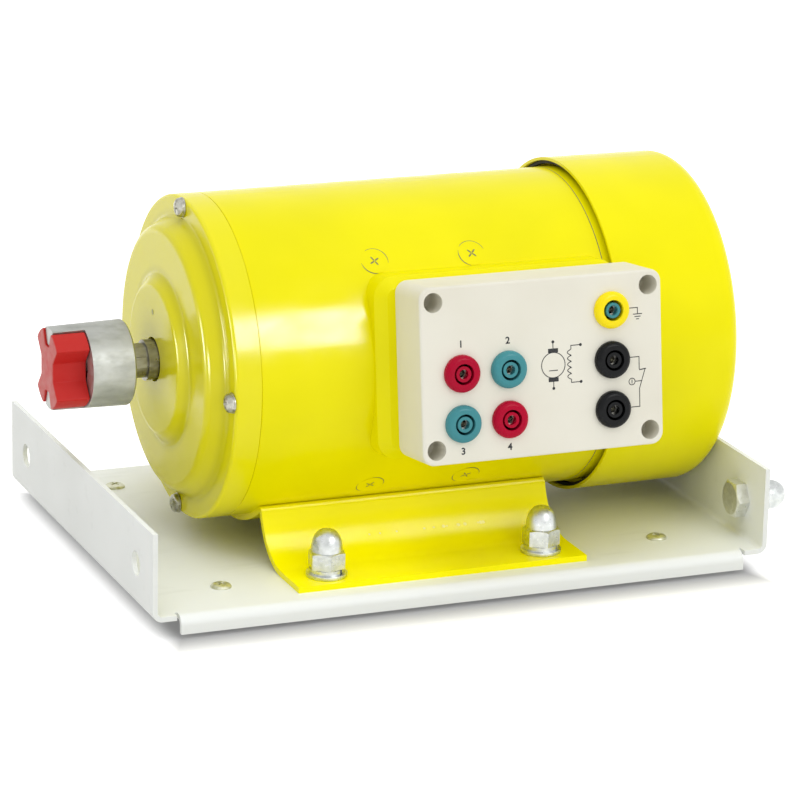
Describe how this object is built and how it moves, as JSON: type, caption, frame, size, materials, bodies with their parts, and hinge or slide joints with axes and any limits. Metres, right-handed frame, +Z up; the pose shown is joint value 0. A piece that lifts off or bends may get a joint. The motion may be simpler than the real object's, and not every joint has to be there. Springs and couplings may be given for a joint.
{
  "type": "demonstration electric motor",
  "caption": "Round-bodied series motor on a folded base, with a jaw coupling on its shaft, a fan cover and a tilted box of shrouded sockets.",
  "frame": {"origin": "on the standing plane under the rubber feet, below the middle of the overall box", "axes": "+X along the shaft, away from the coupling; -Y the side of the terminal box; +Z up"},
  "size_m": [0.3562, 0.2376, 0.1862],
  "materials": {
    "base_paint": "smooth light grey powder coat",
    "yellow_paint": "gloss lemon yellow enamel",
    "rubber": "matt black rubber",
    "yellow_zinc": "yellow passivated zinc",
    "zinc": "bright zinc plate",
    "electrical_steel": "varnished steel laminations",
    "coil_tape": "varnished woven tape",
    "dark_plastic": "glass-filled nylon",
    "phenolic": "fabric phenolic",
    "brass": "drawn brass",
    "carbon": "pressed carbon",
    "spring_steel": "blued spring steel",
    "bearing_steel": "ground and polished",
    "shaft_steel": "turned steel",
    "enamelled_copper": "varnished copper wire",
    "copper": "turned copper",
    "cast_aluminium": "cast and turned aluminium",
    "red_elastomer": "moulded polyurethane",
    "cream_plastic": "fine-textured moulded plastic",
    "red_plastic": "moulded polyamide",
    "teal_plastic": "moulded polyamide",
    "yellow_plastic": "moulded polyamide",
    "black_plastic": "moulded polyamide",
    "plated_brass": "nickel-plated brass"
  },
  "bodies": {
    "frame": {"base_plate": "base_paint", "black_sockets": "black_plastic", "bracket_bolts": "zinc", "bracket_washers": "zinc", "brush_holders": "brass", "brush_ring": "phenolic", "brush_springs": "spring_steel", "cover_pillars": "zinc", "cover_screws": "zinc", "domed_nuts": "zinc", "earth_socket": "yellow_plastic", "field_coils": "coil_tape", "foot_bracket": "yellow_paint", "foot_screws": "yellow_zinc", "front_bearing_outer": "bearing_steel", "front_end_shield": "yellow_paint", "lid_screws": "zinc", "link_bolts": "zinc", "link_nuts": "zinc", "link_washers": "zinc", "lock_washers": "zinc", "pole_cores": "electrical_steel", "pole_screws": "yellow_paint", "preload_washer": "spring_steel", "rear_bearing_outer": "bearing_steel", "rear_cover": "yellow_paint", "rear_end_shield": "yellow_paint", "red_sockets": "red_plastic", "riser_screws": "zinc", "rubber_feet": "rubber", "saddle_screws": "zinc", "shield_screws": "zinc", "shield_washers": "zinc", "socket_contacts": "plated_brass", "socket_nuts": "plated_brass", "stator_tube": "yellow_paint", "teal_sockets": "teal_plastic", "terminal_box": "cream_plastic", "terminal_lid": "cream_plastic", "terminal_riser": "yellow_paint", "thermal_switch": "dark_plastic"},
    "rotor": {"shaft": "shaft_steel", "shaft_key": "shaft_steel", "armature_core": "electrical_steel", "armature_winding": "enamelled_copper", "commutator_sleeve": "phenolic", "commutator_bars": "copper", "cooling_fan": "dark_plastic", "fan_clip": "spring_steel", "coupling_hub": "cast_aluminium", "hub_set_screw": "zinc", "front_bearing_inner": "bearing_steel", "rear_bearing_inner": "bearing_steel", "bearing_balls": "bearing_steel"},
    "spider": {"coupling_spider": "red_elastomer"},
    "upper_brush": {"brush_top": "carbon"},
    "lower_brush": {"brush_bottom": "carbon"},
    "near_brush": {"brush_front": "carbon"},
    "far_brush": {"brush_back": "carbon"}
  },
  "joints": [
    {"name": "rotor_spin", "type": "hinge", "parent": "frame", "child": "rotor", "pos_m": [-0.0025, 0.00382, 0.102], "axis": [1, 0, 0], "continuous": true},
    {"name": "upper_brush_lift", "type": "slide", "parent": "frame", "child": "upper_brush", "axis": [0, 0, 1], "range_m": [0, 0.004], "stiffness_N_per_m": 500, "springref_m": -0.008, "deforming": ["brush_springs"]},
    {"name": "lower_brush_lift", "type": "slide", "parent": "frame", "child": "lower_brush", "axis": [0, 0, -1], "range_m": [0, 0.004], "stiffness_N_per_m": 500, "springref_m": -0.008},
    {"name": "near_brush_lift", "type": "slide", "parent": "frame", "child": "near_brush", "axis": [0, -1, 0], "range_m": [0, 0.004], "stiffness_N_per_m": 500, "springref_m": -0.008},
    {"name": "far_brush_lift", "type": "slide", "parent": "frame", "child": "far_brush", "axis": [0, 1, 0], "range_m": [0, 0.004], "stiffness_N_per_m": 500, "springref_m": -0.008},
    {"name": "spider_pull", "type": "slide", "parent": "rotor", "child": "spider", "axis": [-1, 0, 0], "range_m": [0, 0.018]}
  ]
}
